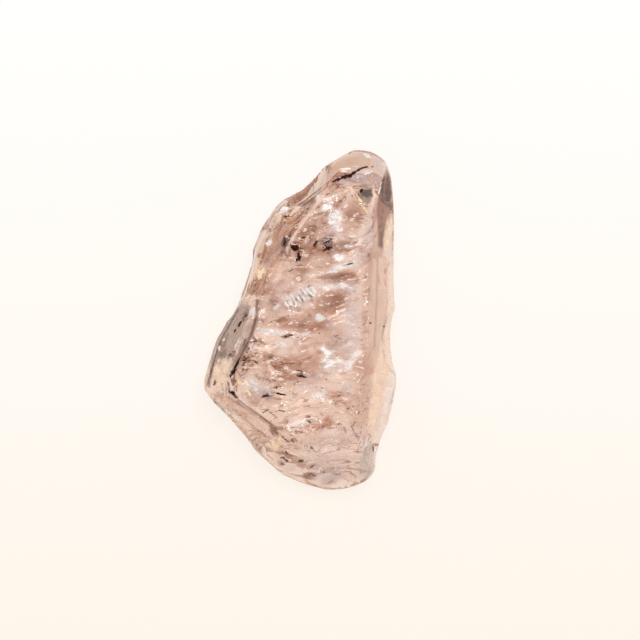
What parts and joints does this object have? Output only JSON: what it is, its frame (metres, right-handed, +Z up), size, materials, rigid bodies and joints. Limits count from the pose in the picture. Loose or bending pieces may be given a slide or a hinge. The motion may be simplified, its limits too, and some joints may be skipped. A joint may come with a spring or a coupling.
{
  "type": "rough morganite crystal",
  "caption": "Rough pale peach morganite, a clear beryl crystal with flat prism faces, scooped breaks and inner fractures, lying on its flattest face.",
  "frame": {"origin": "middle of the stone's outline seen from above, at the height of the face that it lies on", "axes": "+Y along the stone towards its narrow end, +Z up from the face that it lies on, +X towards its flat prism face"},
  "size_m": [0.018, 0.032, 0.011],
  "materials": {
    "morganite": "clear pale peach beryl with glossy breaks and faint growth lines"
  },
  "bodies": {
    "root": {"morganite": "morganite"}
  },
  "joints": []
}
